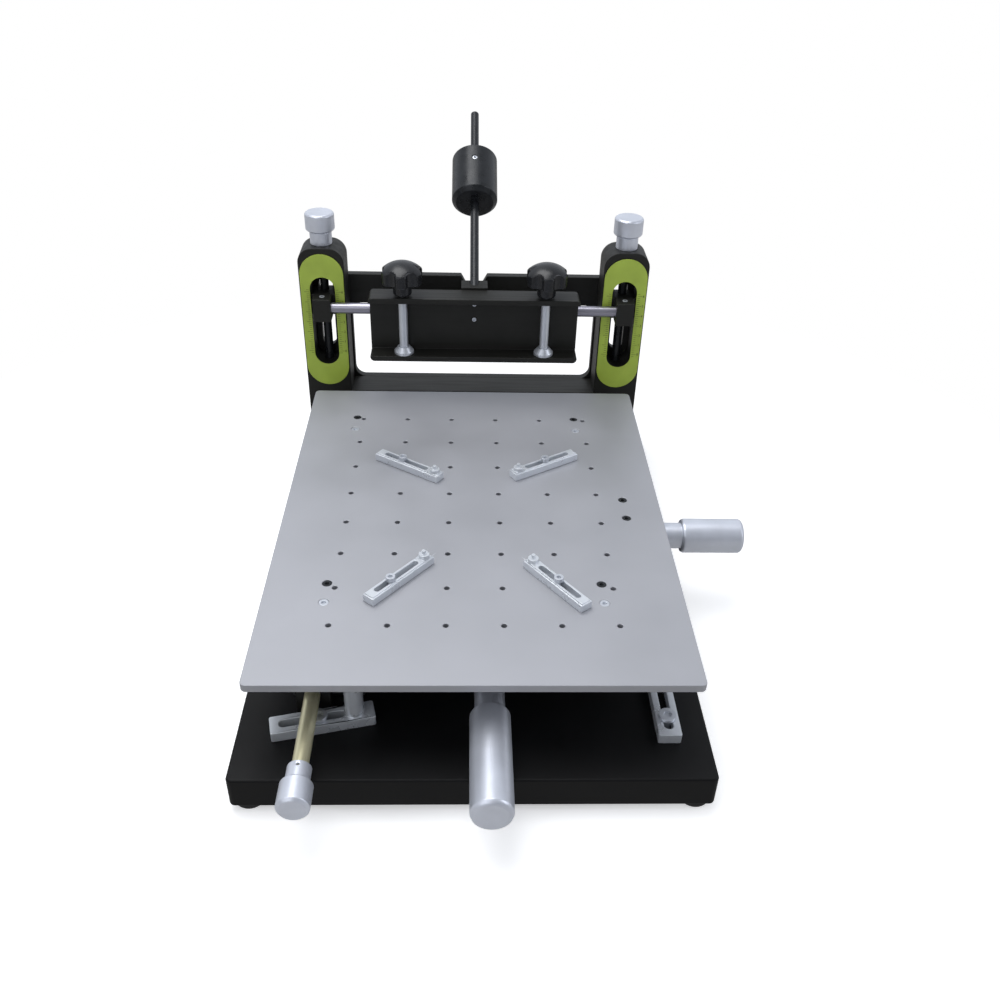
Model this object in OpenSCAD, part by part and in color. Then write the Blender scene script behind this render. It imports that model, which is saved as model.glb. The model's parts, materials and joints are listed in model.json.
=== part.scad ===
// Tabletop screen printing press for stencils in frames.
// Millimetres, +Z up, the user stands at -Y. The origin is on the bench, under the middle of the base.
// From the base up: swivel plate (turns), saddle (slides along Y), table (slides along X).
// Two posts at the back carry sliders, a shaft and the hinged frame clamp with its counterweight.

/* [Base] */
// How far the base reaches beyond the table, to each side
base_side = 11.5; // [8:0.5:24]
// How far the base reaches behind the posts
base_behind = 16; // [12:1:30]
// Height of the folded base tray
base_h = 25; // [22:1:34]
// Thickness of the base sheet
base_t = 3; // [2:0.5:4]
// Width of the lip that is turned in under the base
base_lip = 24; // [24:1:30]
// Radius of the upright corners of the base
base_corner = 4; // [2:1:8]
// Radius of a rubber foot
foot_r = 11; // [9:0.5:12]
// Height of a rubber foot below the base
foot_h = 5; // [4:1:10]
// Radius of the stem that holds a foot in the lip
foot_stem_r = 3; // [2.5:0.5:4]

/* [Swivel plate] */
// Centre of the moving stack, along Y
stack_y = -22; // [-26:1:-18]
// Width of the swivel plate
swivel_w = 190; // [184:2:192]
// Distance from each end of the table in to the swivel plate
swivel_in = 80; // [79:0.5:82]
// Thickness of the swivel plate
swivel_t = 5; // [4:0.5:6]
// Radius of a glide pad
pad_r = 10; // [8:1:12]
// Height of a glide pad above the base
pad_h = 1; // [1:0.5:2]
// Radius of the pivot pin
pivot_r = 6; // [4:0.5:8]

/* [Slides] */
// Radius of every guide rod and of the hinge shaft
rod_r = 5; // [4:0.25:5.5]
// Radius of every lead screw
screw_r = 4; // [3:0.25:4.5]
// Distance from the middle to each Y rod
y_rod_x = 80; // [72:1:82]
// Height of the Y rods above the swivel plate
y_rod_up = 9; // [8.5:0.5:11]
// Distance from each end of the swivel plate in to the middle of a Y bearing block
y_block_in = 55; // [49:1:65]
// Place of the Y lead screw, to the right of the middle
y_screw_x = 10.5; // [0:0.5:12]
// Thickness of the saddle plate
saddle_t = 5; // [4:0.5:8]
// Height of the X rods above the saddle plate
x_rod_up = 14; // [13:0.5:18]
// Distance from the front of the table back to the front X rod
x_rod_front = 91.5; // [89:0.5:97]
// Distance from the rear of the table forward to the rear X rod
x_rod_rear = 60.5; // [57:0.5:73]
// Height of the X lead screw above the saddle plate
x_screw_up = 6.5; // [6:0.5:8]
// Place of the left pair of X bearing blocks
x_block_left = -106; // [-110:1:-100]
// Place of the right pair of X bearing blocks
x_block_right = 92; // [86:1:96]
// Travel of each slide, to each side
travel = 10; // [6:1:12]
// Radial running clearance of rods, screws and shafts
fit = 0.05; // [0.02:0.01:0.1]

/* [Table] */
// Width of the table
table_w = 300; // [290:5:310]
// Depth of the table
table_d = 390; // [380:2:394]
// Thickness of the table
table_t = 6; // [5:0.5:10]
// Radius of the corners of the table
table_corner = 4; // [2:1:10]
// How far the table's middle lies in front of the hole grid's middle
table_ahead = 2; // [0:0.5:4]
// Height from the X rods up to the table
table_up = 13; // [12:0.5:16]
// Distance between grid holes
grid_pitch = 40; // [38:0.5:41]
// Radius of a grid hole
grid_r = 2; // [1.5:0.25:2.5]
// Number of grid holes along X
grid_nx = 6; // [6:1:6]
// Number of grid holes along Y
grid_ny = 8; // [8:1:8]

/* [Handles] */
// Radius of the two long handles
handle_r = 14; // [11:0.5:15]
// Length of the front handle
y_handle_len = 83.5; // [60:0.5:90]
// Length of the side handle
x_handle_len = 50; // [40:1:70]
// Radius of a handle's neck
neck_r = 10.5; // [8:0.5:10.5]
// Distance from the left of the table in to the angle knob
angle_in = 39; // [37:0.5:44]
// Height of the angle screw above the base
angle_up = 17.5; // [16.5:0.5:18]
// Radius of the zinc plated angle rod
angle_rod_r = 5.5; // [4.5:0.25:5.5]
// Radius of the angle knob's cap
angle_cap_r = 10.75; // [8:0.25:12]

/* [Posts] */
// Width of a post
post_w = 42; // [38:1:44]
// Depth of a post
post_d = 31; // [28:1:34]
// Height of a post above the base
post_h = 190; // [186:1:200]
// Gap between the table and the posts
post_behind = 27; // [26:1:33]
// Radius of the upper corners of a post
post_corner = 14; // [6:1:16]
// Width of the slot in a post
slot_w = 23; // [21:0.5:25]
// Height of the slot in a post
slot_h = 88; // [84:1:90]
// Height of metal over the slot
slot_over = 27; // [24:1:30]
// Depth of the wide front part of the slot, in which the slider runs
pocket_d = 23; // [22:0.5:26]
// Width of the narrow back part of the slot
back_slot_w = 13; // [10:0.5:16]
// Distance from each end of the slot in to the end of its narrow part
back_slot_in = 9; // [6:0.5:12]
// Width of a scale label
label_w = 40; // [34:1:41]
// Height of a scale label
label_h = 132; // [120:1:134]
// Thickness of a scale label
label_t = 1; // [0.5:0.1:1.5]
// Radius of a lift knob
lift_knob_r = 13.25; // [11:0.25:15]
// Height of a lift knob
lift_knob_h = 16.5; // [12:0.5:24]
// Radius of the collar under a lift knob
lift_collar_r = 10; // [8:0.5:10.5]
// Height of the collar under a lift knob
lift_collar_h = 12; // [8:0.5:16]

/* [Back frame] */
// Thickness of the back plate
back_t = 8; // [6:0.5:10]
// Width of plate left between the window and each post
window_edge = 1.5; // [1:0.5:12]
// Height of the window
window_h = 79; // [70:1:84]
// Height of the rail above the window
rail_h = 29; // [24:1:32]
// Height of the beam between the posts, above the base
beam_up = 24; // [20:1:28]
// Height of the beam itself
beam_h = 22; // [16:1:26]

/* [Clamp] */
// Height of the hinge shaft above the middle of the slots
hinge_over = 17; // [13:0.5:19]
// Distance from the posts' front face forward to the hinge shaft
hinge_ahead = 7; // [6.5:0.5:8]
// Width of the clamp channel
clamp_w = 192; // [180:2:200]
// Depth of the clamp channel
clamp_d = 23; // [22:0.5:28]
// Height of the clamp channel
clamp_h = 62; // [58:1:66]
// Thickness of the channel's walls
clamp_t = 5; // [4:0.5:6]
// Height of the channel's top above the hinge shaft
clamp_over = 22; // [20:0.5:24]
// Distance from the middle to each clamping screw
spindle_x = 65; // [50:1:75]
// Radius of a star knob
star_r = 19; // [15:0.5:21]
// Number of lobes of a star knob
star_lobes = 6; // [5:1:8]
// Opening of the clamp, from closed to its widest
jaw_travel = 25; // [15:1:30]

/* [Counterweight] */
// Tilt of the rod back from upright, in degrees
rod_tilt = 60; // [55:1:62]
// Length of the rod
counter_len = 225; // [215:1:250]
// Distance up the rod to the middle of the weight
weight_at = 136; // [132:1:150]
// Radius of the weight
weight_r = 22; // [16:0.5:22]
// Length of the weight
weight_len = 58; // [40:1:62]

/* [Locators] */
// Length of a table locator arm
arm_len = 64; // [60:1:68]
// Width of a table locator arm
arm_w = 10; // [9:0.5:12]
// Height of a table locator arm
arm_h = 7; // [5:0.5:9]
// Width of the slot in an arm
arm_slot_w = 4.5; // [4.25:0.05:5]
// Length of a slotted bar on the base
bar_len = 71; // [66:1:76]
// Width of a slotted bar on the base
bar_w = 16; // [14:0.5:18]
// Height of a slotted bar on the base
bar_h = 8; // [6:0.5:8]
// Radius of the post that the left bar carries
rest_r = 6.5; // [5:0.5:7]

/* [Hidden] */
$fn = 48;

black = "#18181a";
grey = "#a3a5a8";
silver = "#c9cbcf";
zinc = "#b3a878";
green = "#8fa24a";

// Overrun of every cut past the face that it leaves
cut = 1;
// Gap between flat faces that slide on each other
slide_gap = 0.1;
// Gap in front of a face that a moving piece stops at
stop_gap = 2;
// Gap that keeps plates of different stages apart
stage_gap = 1;

// Outline of the table and what stands round it
table_front = stack_y - table_ahead - table_d / 2;
table_rear = table_front + table_d;
post_y = table_rear + post_behind;
base_w = table_w + 2 * base_side;
base_d = 2 * (post_y + post_d + base_behind);
post_x = (base_w - post_w) / 2;

// Heights of the stack
base_z = foot_h;
base_top = base_z + base_h;
swivel_z = base_top + pad_h + slide_gap;
swivel_top = swivel_z + swivel_t;
y_rod_z = swivel_top + y_rod_up;
// Cover of metal over a Y rod in its bearing block
y_block_over = 7;
saddle_z = y_rod_z + y_block_over;
saddle_top = saddle_z + saddle_t;
x_rod_z = saddle_top + x_rod_up;
x_screw_z = saddle_top + x_screw_up;
table_z = x_rod_z + table_up;
table_top = table_z + table_t;

// Blocks that hold the rods and run on them
rod_block_w = 24;
rod_block_t = 10;
y_block_w = 34;
y_block_len = 24;
x_block_w = 24;
x_block_len = 34;
x_end_left = x_block_left - x_block_w / 2 - travel - stop_gap - rod_block_t / 2;
x_end_right = x_block_right + x_block_w / 2 + travel + stop_gap + rod_block_t / 2;
saddle_edge = 1;
saddle_side = 14;
saddle_x0 = x_end_left - rod_block_t / 2 - saddle_edge;
saddle_x1 = x_end_right + rod_block_t / 2 + saddle_edge;
saddle_y0 = table_front + x_rod_front - saddle_side;
saddle_y1 = table_rear - x_rod_rear + saddle_side;
swivel_d = table_d - 2 * swivel_in;
swivel_y0 = stack_y - swivel_d / 2;
swivel_y1 = stack_y + swivel_d / 2;
x_end_h = 22;

// Nuts of the two slides
nut_w = 24;
nut_len = 18;
nut_x = 60;
nut_wall = 7;
// Distance from the pivot forward to the Y nut
nut_ahead = 48;
y_nut_y = stack_y - nut_ahead;
// Length of a screw that stays past its nut at full travel
screw_past = 3;
x_screw_x0 = nut_x - nut_len / 2 - travel - screw_past;
y_screw_y1 = y_nut_y + nut_len / 2 + travel + screw_past;
x_screw_block_w = 18;
x_screw_block_len = 40;
x_screw_block_x = x_end_right;

// Fasteners
m5_r = 2.5;
m5_head_r = 4.25;
m5_head_h = 5;
m5_len = 15;
table_head_r = 3.5;
table_head_h = 3;
head_gap = 0.3;
block_screw_y = 10.4;
side_screw_y = 12.6;

// Handles
handle_chamfer = 2;
collar_r = 6;
collar_t = 6;
handle_shoulder = 1;
// Front handle starts this far under the table, the side handle this far beyond it
handle_under = 17;
handle_out = 19.5;
y_neck_y = saddle_y0 - travel - 2 * stop_gap;
y_handle_y = table_front + handle_under;
x_neck_x = saddle_x1 + travel + stop_gap;
x_handle_x = table_w / 2 + handle_out;

// Angle screw, its bracket on the base and its nut in the swivel plate's ear
angle_z = base_top + angle_up;
angle_bracket_t = 8;
angle_bracket_w = 24;
angle_bracket_up = 30;
angle_x = table_w / 2 - angle_in;
angle_nut_ahead = 26;
angle_nut_y = swivel_y0 - angle_nut_ahead;
angle_nut_w = 16;
angle_nut_len = 10;
angle_nut_over = 8;
angle_pin_r = 4;
// Room that the pin needs in its slot, because the ear swings on an arc
angle_pin_room = 0.35;
angle_slot_half = 12;
ear_wall = 2.65;
ear_end = 5;
ear_root = 18;
// Room for the nut to travel between the bracket and its own middle place
angle_room = 9;
angle_bracket_y = angle_nut_y - angle_nut_len / 2 - angle_bracket_t - angle_room;
// Collar behind the bracket that keeps the screw from pulling out
angle_stop = 2;
angle_tail = 2;
angle_collar_r = 8;
angle_collar_len = 13;
angle_cap_len = 20;
angle_cap_chamfer = 2;
// How far the collar of the angle knob lies in front of the table
knob_ahead = 30;
angle_collar_y = table_front - knob_ahead;
knob_screw_r = 1;

// Feet, pads and pivot
foot_in = 12;
foot_head_r = 3.8;
foot_head_h = 1.5;
// Distance from the sides of the swivel plate in to the glide pads
pad_in = 25;
pad_x = swivel_w / 2 - pad_in;
pad_y = swivel_d / 2 - pad_in;
pad_peg_r = 2.5;
pivot_head_r = 10;
pivot_head_h = 2.5;

// Posts, sliders and the hinge
post_top = base_top + post_h;
slot_z = post_top - slot_over - slot_h;
slot_mid_z = slot_z + slot_h / 2;
lift_y = post_y + post_d / 2;
hinge_z = slot_mid_z + hinge_over;
hinge_y = post_y - hinge_ahead;
bush_spigot_r = 7;
screw_foot = 6;
slider_gap = 0.2;
guide_h = 20;
nose_w = 16;
nose_h = 22;
nose_wall = 3;
nose_y = hinge_y - rod_r - nose_wall;
guide_in = 1;
shaft_in = 1;
knob_gap = 0.3;
knob_chamfer = 1.5;

// Back frame
beam_z = base_top + beam_up;
window_z = beam_z + beam_h;
window_half = post_x - post_w / 2 - window_edge;
window_r = 10;
rail_z = window_z + window_h;
back_edge = 0.5;
back_half = post_x - slot_w / 2 - back_edge;
notch_top = 25;
notch_bottom = 13;
notch_depth = 11;
back_y = post_y + post_d;
inner_wall_x = (post_x - post_w / 2 + post_x - slot_w / 2) / 2;

// Clamp, measured from the hinge shaft
clamp_gap = 0.5;
clamp_y1 = hinge_y - rod_r - clamp_gap;
clamp_y0 = clamp_y1 - clamp_d;
clamp_top = hinge_z + clamp_over;
clamp_z = clamp_top - clamp_h;
clamp_round = 4;
jaw_mid_y = (clamp_y0 + clamp_y1 - clamp_t) / 2;
pad_foot_r = 9;
pad_neck_r = 5.5;
pad_rim_h = 2.5;
pad_tall = 7;
pad_floor = 2;
pad_z = clamp_z + clamp_t + slide_gap;
star_gap = 1.5;
star_neck_r = 8.5;
star_neck_h = 11;
star_h = 19;
star_dome_r = 26;
star_flute_r = 7;
star_flute_out = 3.5;
star_flute_at = star_r + star_flute_out;
star_bore_h = 14;
star_z = clamp_top + star_gap;
block_w = 24;
block_back = 18;
block_down = 12;
block_up = 24;
block_screw_r = 2;
// Places of the block's two screws, below and above the hinge shaft
block_screw_down = 5;
block_screw_up = 10;

// Rod and weight, from where the rod starts in its block
rod_ahead = 3;
rod_above = 17;
rod_start_y = hinge_y - rod_ahead;
rod_start_z = hinge_z + rod_above;
weight_chamfer = 4;
set_screw_r = 2.5;
rod_round = 1;

// Locators
arm_screw_r = 1.95;
arm_head_r = 3.5;
arm_head_h = 3.5;
arm_slot_len = 44;
arm_boss_r = 4;
arm_boss_h = 3;
arm_pin_r = 1.5;
arm_pin_h = 3;
arm_boss_in = 5.5;
arm_chamfer = 1;
// For each arm: its grid hole across and back, its angle in degrees, and its middle's place past the screw
arm_nx = [1, 4, 1, 4];
arm_ny = [1, 1, 5, 5];
arm_angles = [50, 127, -34, 212];
arm_past_shares = [0.14, 0.03, 0.1, 0.01];
bar_slot_w = 6.5;
bar_slot_len = 45;
bar_slot_in = 6;
bar_rim = 1.5;
bar_head_r = 6;
bar_head_h = 3;
bar_screw_r = 3;
bar_screw_out = 1;
rest_in = 13.5;
rest_gap = 0.5;
// Places of the bars' screws, measured in from the sides and the front of the table
left_bar_in = 44;
right_bar_in = 17;
bar_under = 21.5;
left_bar_x = left_bar_in - table_w / 2;
right_bar_x = table_w / 2 - right_bar_in;
bar_screw_y = table_front + bar_under;
left_bar_angle = 13;
left_bar_past = 2.5;
right_bar_angle = 90;
right_bar_past = 19;

function grid_x(i) = (i - (grid_nx - 1) / 2) * grid_pitch;
function grid_y(j) = stack_y + (j - (grid_ny - 1) / 2) * grid_pitch;
x_rod_ys = [table_front + x_rod_front, table_rear - x_rod_rear];
x_blocks = [x_block_left, x_block_right];

// General shapes

module rounded_rect(x, y, r) {
    square([x, y - 2 * r], center = true);
    square([x - 2 * r, y], center = true);
    for (sx = [-1, 1], sy = [-1, 1])
        translate([sx * (x / 2 - r), sy * (y / 2 - r)]) circle(r);
}

module stadium(x, y) {
    square([x, y - x], center = true);
    for (s = [-1, 1]) translate([0, s * (y - x) / 2]) circle(x / 2);
}

// A block given by its lowest and highest corner
module block(low, high) {
    translate(low) cube(high - low);
}

// A cylinder along X or Y, from one end to the other
module bar_x(r, x0, x1, y, z) {
    translate([x0, y, z]) rotate([0, 90, 0]) cylinder(r = r, h = x1 - x0);
}

module bar_y(r, y0, y1, x, z) {
    translate([x, y0, z]) rotate([-90, 0, 0]) cylinder(r = r, h = y1 - y0);
}

module bar_z(r, z0, z1, x, y) {
    translate([x, y, z0]) cylinder(r = r, h = z1 - z0);
}

// A turned piece along Z, with chamfers of c0 below and c1 above
module turned(r, h, c0, c1) {
    rotate_extrude()
        polygon([[0, 0], [r - c0, 0], [r, c0], [r, h - c1], [r - c1, h], [0, h]]);
}

// An outline in the XZ plane, given a depth from y0 to y1
module upright(y0, y1) {
    translate([0, y1, 0]) rotate([90, 0, 0]) linear_extrude(y1 - y0) children();
}

// Socket head screw: the head's underside at the origin, the shank along -Z
module socket_screw(r, len, head_r, head_h) {
    translate([0, 0, -len]) cylinder(r = r, h = len);
    difference() {
        cylinder(r = head_r, h = head_h);
        translate([0, 0, head_h / 2]) cylinder(r = head_r / 2, h = head_h, $fn = 6);
    }
}

// Base

module at_feet() {
    for (sx = [-1, 1], sy = [-1, 1])
        translate([sx * (base_w / 2 - foot_in), sy * (base_d / 2 - foot_in)]) children();
}

module at_pads() {
    for (sx = [-1, 1], sy = [-1, 1])
        translate([sx * pad_x, stack_y + sy * pad_y]) children();
}

// Screws that come up through the base: two in each post and one in the angle bracket
module at_base_screws() {
    for (sx = [-1, 1], y = [post_y + post_d / 4, post_y + post_d * 3 / 4])
        translate([sx * post_x, y, base_top - base_t]) rotate([180, 0, 0]) children();
    translate([-angle_x, angle_bracket_y + angle_bracket_t / 2, base_top - base_t])
        rotate([180, 0, 0]) children();
}

// Screws through the back plate: two in each post and two in the beam
module at_back_screws() {
    places = [for (sx = [-1, 1]) for (p = [
        [inner_wall_x, rail_z + rail_h / 2],
        [inner_wall_x, window_z + window_r],
        [window_half / 2, beam_z + beam_h / 2]]) [sx * p[0], p[1]]];
    for (p = places) translate([p[0], back_y + back_t, p[1]]) rotate([-90, 0, 0]) children();
}

module base_tray() {
    color(black) difference() {
        translate([0, 0, base_z]) linear_extrude(base_h) rounded_rect(base_w, base_d, base_corner);
        translate([0, 0, base_z + base_t]) linear_extrude(base_h - 2 * base_t)
            square([base_w - 2 * base_t, base_d - 2 * base_t], center = true);
        translate([0, 0, base_z - cut]) linear_extrude(base_t + 2 * cut)
            square([base_w - 2 * base_lip, base_d - 2 * base_lip], center = true);
        at_feet() bar_z(foot_stem_r + fit, base_z - cut, base_z + base_t + cut, 0, 0);
        at_pads() bar_z(pad_peg_r + fit, base_top - base_t - cut, base_top + cut, 0, 0);
        bar_z(pivot_r + fit, base_top - base_t - cut, base_top + cut, 0, stack_y);
        at_base_screws() translate([0, 0, -base_t - cut]) cylinder(r = m5_r + fit, h = base_t + 2 * cut);
        for (b = [[left_bar_x, bar_screw_y], [right_bar_x, bar_screw_y]])
            bar_z(bar_screw_r + fit, base_top - base_t - cut, base_top + cut, b[0], b[1]);
    }
}

module rubber_feet() {
    color("#222222") at_feet() {
        cylinder(r = foot_r, h = foot_h);
        cylinder(r = foot_stem_r, h = foot_h + base_t + foot_head_h);
        translate([0, 0, foot_h + base_t]) cylinder(r = foot_head_r, h = foot_head_h);
    }
}

module glide_pads() {
    color("ivory") at_pads() {
        bar_z(pad_r, base_top, base_top + pad_h, 0, 0);
        bar_z(pad_peg_r, base_top - base_t, base_top + pad_h, 0, 0);
    }
}

module pivot_pin() {
    color(silver) {
        bar_z(pivot_r, base_top - base_t, swivel_top + slide_gap, 0, stack_y);
        bar_z(pivot_head_r, base_top - base_t - pivot_head_h, base_top - base_t, 0, stack_y);
        bar_z(pivot_head_r, swivel_top + slide_gap, swivel_top + slide_gap + pivot_head_h, 0, stack_y);
    }
}

module tie_beam() {
    color(black) difference() {
        block([post_w / 2 - post_x, post_y, beam_z],
            [post_x - post_w / 2, back_y, window_z]);
        at_back_screws() translate([0, 0, -m5_len - back_t]) cylinder(r = m5_r + fit, h = m5_len + back_t);
    }
}

module post_slot() {
    translate([0, slot_mid_z]) stadium(slot_w, slot_h);
}

// The slot's narrow back part, through which the light shows beside the screw
module back_slot() {
    translate([0, slot_mid_z]) stadium(back_slot_w, slot_h - 2 * back_slot_in);
}

module post_outline() {
    translate([-post_w / 2, base_top]) square([post_w, post_h - post_corner]);
    translate([post_corner - post_w / 2, base_top]) square([post_w - 2 * post_corner, post_h]);
    for (s = [-1, 1])
        translate([s * (post_w / 2 - post_corner), post_top - post_corner]) circle(post_corner);
}

// Post at x = 0, with its stepped slot, the bore for the bush and the seat of the lead screw
module post_shape() {
    difference() {
        upright(post_y, back_y) post_outline();
        upright(post_y - cut, post_y + pocket_d) post_slot();
        upright(post_y, back_y + cut) back_slot();
        bar_z(bush_spigot_r + fit, slot_mid_z, post_top + cut, 0, lift_y);
        bar_z(screw_r + fit, slot_z - screw_foot, slot_mid_z, 0, lift_y);
    }
}

module post(side) {
    color(black) difference() {
        translate([side * post_x, 0, 0]) post_shape();
        at_back_screws() translate([0, 0, -m5_len - back_t]) cylinder(r = m5_r + fit, h = m5_len + back_t);
        at_base_screws() translate([0, 0, -m5_len - base_t]) cylinder(r = m5_r + fit, h = m5_len + base_t);
    }
}

module left_post() { post(-1); }
module right_post() { post(1); }

module scale_labels() {
    color(green) for (s = [-1, 1]) translate([s * post_x, 0, 0])
        upright(post_y - label_t, post_y) difference() {
            translate([0, slot_mid_z]) stadium(label_w, label_h);
            post_slot();
        }
}

module lift_bushes() {
    color(silver) for (s = [-1, 1]) translate([s * post_x, lift_y, 0]) difference() {
        union() {
            bar_z(bush_spigot_r, slot_z + slot_h, post_top, 0, 0);
            translate([0, 0, post_top]) turned(lift_collar_r, lift_collar_h, 0, knob_chamfer / 2);
        }
        bar_z(screw_r + fit, slot_z, post_top + lift_collar_h + cut, 0, 0);
    }
}

module back_plate() {
    color(black) difference() {
        upright(back_y, back_y + back_t) difference() {
            translate([-back_half, beam_z]) square([2 * back_half, rail_z + rail_h - beam_z]);
            translate([0, window_z + window_h / 2]) rounded_rect(2 * window_half, window_h, window_r);
            polygon([[-notch_top / 2, rail_z + rail_h + cut], [-notch_top / 2, rail_z + rail_h],
                [-notch_bottom / 2, rail_z + rail_h - notch_depth],
                [notch_bottom / 2, rail_z + rail_h - notch_depth],
                [notch_top / 2, rail_z + rail_h], [notch_top / 2, rail_z + rail_h + cut]]);
        }
        at_back_screws() translate([0, 0, -back_t - cut]) cylinder(r = m5_r + fit, h = back_t + 2 * cut);
    }
}

module frame_screws() {
    color("#2a2a2c") {
        at_base_screws() socket_screw(m5_r, m5_len, m5_head_r, m5_head_h);
        at_back_screws() socket_screw(m5_r, m5_len + back_t - base_t, m5_head_r, m5_head_h);
    }
}

module angle_bracket() {
    bracket_y1 = angle_bracket_y + angle_bracket_t;
    color(black) difference() {
        block([-angle_x - angle_bracket_w / 2, angle_bracket_y, base_top],
            [-angle_x + angle_bracket_w / 2, bracket_y1, base_top + angle_bracket_up]);
        bar_y(screw_r + fit, angle_bracket_y - cut, bracket_y1 + cut, -angle_x, angle_z);
        at_base_screws() translate([0, 0, -m5_len]) cylinder(r = m5_r + fit, h = m5_len);
    }
}

// Swivel stage

module swivel_plate() {
    ear_x0 = -angle_x - angle_slot_half - ear_end;
    ear_x1 = max(angle_slot_half + ear_end - angle_x, ear_root - swivel_w / 2);
    ear_y0 = angle_nut_y - angle_pin_r - angle_pin_room - ear_wall;
    color(grey) difference() {
        union() {
            block([-swivel_w / 2, swivel_y0, swivel_z], [swivel_w / 2, swivel_y1, swivel_top]);
            block([ear_x0, ear_y0, swivel_z], [ear_x1, swivel_y0 + ear_end, swivel_top]);
        }
        bar_z(pivot_r + fit, swivel_z - cut, swivel_top + cut, 0, stack_y);
        translate([-angle_x, angle_nut_y, swivel_z - cut]) linear_extrude(swivel_t + 2 * cut)
            rotate(90) stadium(2 * (angle_pin_r + angle_pin_room), 2 * angle_slot_half);
    }
}

module y_rods() {
    color(silver) for (s = [-1, 1]) bar_y(rod_r, swivel_y0, swivel_y1, s * y_rod_x, y_rod_z);
}

module y_rod_blocks() {
    color(grey) for (s = [-1, 1], y = [swivel_y0, swivel_y1 - rod_block_t]) difference() {
        block([s * y_rod_x - rod_block_w / 2, y, swivel_top],
            [s * y_rod_x + rod_block_w / 2, y + rod_block_t, saddle_z - stage_gap]);
        bar_y(rod_r + fit, y - cut, y + rod_block_t + cut, s * y_rod_x, y_rod_z);
    }
}

module y_screw_bracket() {
    color(grey) difference() {
        block([y_screw_x - rod_block_w / 2, swivel_y0, swivel_top],
            [y_screw_x + rod_block_w / 2, swivel_y0 + rod_block_t, saddle_z - stage_gap]);
        bar_y(screw_r + fit, swivel_y0 - cut, swivel_y0 + rod_block_t + cut, y_screw_x, y_rod_z);
    }
}

// Saddle stage

module saddle_plate() {
    color(grey) block([saddle_x0, saddle_y0, saddle_z], [saddle_x1, saddle_y1, saddle_top]);
}

module y_bearing_blocks() {
    color(silver) for (s = [-1, 1], t = [-1, 1]) {
        y = stack_y + t * (swivel_d / 2 - y_block_in);
        difference() {
            block([s * y_rod_x - y_block_w / 2, y - y_block_len / 2, swivel_top + stage_gap],
                [s * y_rod_x + y_block_w / 2, y + y_block_len / 2, saddle_z]);
            bar_y(rod_r + fit, y - y_block_len / 2 - cut, y + y_block_len / 2 + cut, s * y_rod_x, y_rod_z);
        }
    }
}

module x_rods() {
    color(silver) for (y = x_rod_ys)
        bar_x(rod_r, x_end_left - rod_block_t / 2, x_end_right + rod_block_t / 2, y, x_rod_z);
}

module x_rod_blocks() {
    color(grey) for (x = [x_end_left, x_end_right], y = x_rod_ys) difference() {
        block([x - rod_block_t / 2, y - rod_block_w / 2, saddle_top],
            [x + rod_block_t / 2, y + rod_block_w / 2, saddle_top + x_end_h]);
        bar_x(rod_r + fit, x - rod_block_t / 2 - cut, x + rod_block_t / 2 + cut, y, x_rod_z);
    }
}

module saddle_nuts() {
    color("#b9975b") {
        difference() {
            block([y_screw_x - nut_w / 2, y_nut_y - nut_len / 2, y_rod_z - nut_wall],
                [y_screw_x + nut_w / 2, y_nut_y + nut_len / 2, saddle_z]);
            bar_y(screw_r + fit, y_nut_y - nut_len, y_nut_y + nut_len, y_screw_x, y_rod_z);
        }
        difference() {
            block([nut_x - nut_len / 2, stack_y - nut_w / 2, saddle_top],
                [nut_x + nut_len / 2, stack_y + nut_w / 2, x_screw_z + nut_wall]);
            bar_x(screw_r + fit, nut_x - nut_len, nut_x + nut_len, stack_y, x_screw_z);
        }
    }
}

// Table stage

// Seats of the black screws: the rear one of each bearing block, and both of the side block
module at_black_screws() {
    for (x = x_blocks, y = x_rod_ys) translate([x, y + block_screw_y, table_top]) children();
    for (s = [-1, 1]) translate([x_screw_block_x, stack_y + s * side_screw_y, table_top]) children();
}

module at_zinc_screws() {
    for (x = x_blocks, y = x_rod_ys) translate([x, y - block_screw_y, table_top]) children();
}

module table_screw() {
    translate([0, 0, -table_head_h - head_gap]) socket_screw(m5_r, m5_len, table_head_r, table_head_h);
}

module table_screw_seat() {
    translate([0, 0, -table_head_h - head_gap]) {
        cylinder(r = table_head_r + fit, h = table_head_h + head_gap + cut);
        translate([0, 0, -m5_len]) cylinder(r = m5_r + fit, h = m5_len + cut);
    }
}

module table_plate() {
    color(grey) difference() {
        translate([0, stack_y - table_ahead, table_z]) linear_extrude(table_t)
            rounded_rect(table_w, table_d, table_corner);
        for (i = [0 : grid_nx - 1], j = [0 : grid_ny - 1])
            bar_z(grid_r, table_z - cut, table_top + cut, grid_x(i), grid_y(j));
        at_black_screws() table_screw_seat();
        at_zinc_screws() table_screw_seat();
    }
}

module x_bearing_blocks() {
    color(silver) difference() {
        for (x = x_blocks, y = x_rod_ys)
            block([x - x_block_w / 2, y - x_block_len / 2, saddle_top + stage_gap],
                [x + x_block_w / 2, y + x_block_len / 2, table_z]);
        for (y = x_rod_ys) bar_x(rod_r + fit, x_end_left, x_end_right, y, x_rod_z);
        at_black_screws() table_screw_seat();
        at_zinc_screws() table_screw_seat();
    }
}

module x_screw_block() {
    w = x_screw_block_w / 2;
    d = x_screw_block_len / 2;
    color(grey) difference() {
        block([x_screw_block_x - w, stack_y - d, saddle_top + stage_gap],
            [x_screw_block_x + w, stack_y + d, table_z]);
        bar_x(screw_r + fit, nut_x, x_handle_x, stack_y, x_screw_z);
        at_black_screws() table_screw_seat();
    }
}

module table_screws_black() { color("#222224") at_black_screws() table_screw(); }
module table_screws_zinc() { color(silver) at_zinc_screws() table_screw(); }

// Screws and handles

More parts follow.
